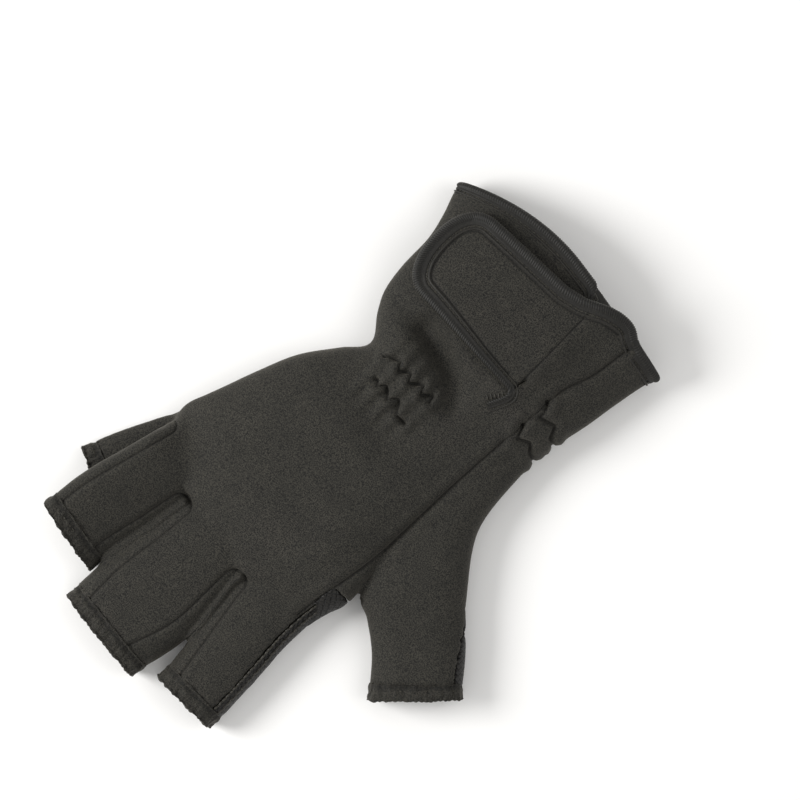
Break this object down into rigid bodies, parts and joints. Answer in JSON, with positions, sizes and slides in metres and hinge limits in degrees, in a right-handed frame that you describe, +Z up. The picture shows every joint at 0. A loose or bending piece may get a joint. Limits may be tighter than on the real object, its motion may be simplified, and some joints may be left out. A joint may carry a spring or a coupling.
{
  "type": "fishing glove",
  "caption": "Half-finger neoprene glove for the right hand with a printed grip palm, gathered wrist and a hook-and-loop cuff tab with ribbed binding",
  "frame": {"origin": "middle of the underside of the bounding box", "axes": "+Y along the hand from the cuff to the fingers, +X towards the little finger, +Z up through the back of the hand"},
  "size_m": [0.1644, 0.2342, 0.0304],
  "materials": {
    "neoprene": "matte jersey-faced neoprene",
    "grip": "printed grip with a basket weave",
    "binding": "ribbed woven tape",
    "hem": "overlocked edge",
    "hook_pad": "hook pile"
  },
  "bodies": {
    "root": {"back_panel": "neoprene", "thumb_panel": "neoprene", "palm_panel": "grip", "thumb_grip": "grip", "fourchette_index_middle": "neoprene", "fourchette_middle_ring": "neoprene", "fourchette_ring_little": "neoprene", "fourchette_under_ring": "neoprene", "hem_index": "hem", "hem_middle": "hem", "hem_ring": "hem", "hem_little": "hem", "hem_thumb": "hem", "closure_tab": "neoprene", "closure_pad": "hook_pad", "tab_binding": "binding", "cuff_binding": "binding"}
  },
  "joints": []
}
